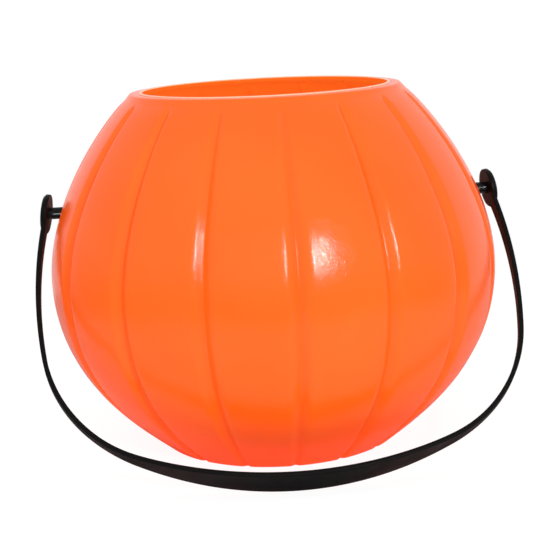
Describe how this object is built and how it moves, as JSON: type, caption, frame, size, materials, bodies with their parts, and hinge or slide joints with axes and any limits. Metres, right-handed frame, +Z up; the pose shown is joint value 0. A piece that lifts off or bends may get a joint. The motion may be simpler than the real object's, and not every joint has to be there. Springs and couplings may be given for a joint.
{
  "type": "candy pail",
  "caption": "Round pumpkin-shaped plastic candy pail with moulded lobes, a wide open mouth and a swinging black strap handle held by snap pegs.",
  "frame": {"origin": "middle of the base, on the surface that the pail stands on", "axes": "+Z up through the mouth, +X along the line of the two pegs, -Y towards the front, where the handle lies down"},
  "size_m": [0.2118, 0.2014, 0.1603],
  "materials": {
    "orange_wall": "satin moulded polypropylene, slightly translucent",
    "black_strap": "satin moulded polyethylene",
    "black_peg": "satin moulded polyethylene"
  },
  "bodies": {
    "pail": {"pail_shell": "orange_wall"},
    "handle": {"handle_strap": "black_strap", "left_snap_peg": "black_peg", "right_snap_peg": "black_peg"}
  },
  "joints": [
    {"name": "handle_swing", "type": "hinge", "parent": "pail", "child": "handle", "pos_m": [0, 0, 0.1083], "axis": [-1, 0, 0], "continuous": true}
  ]
}
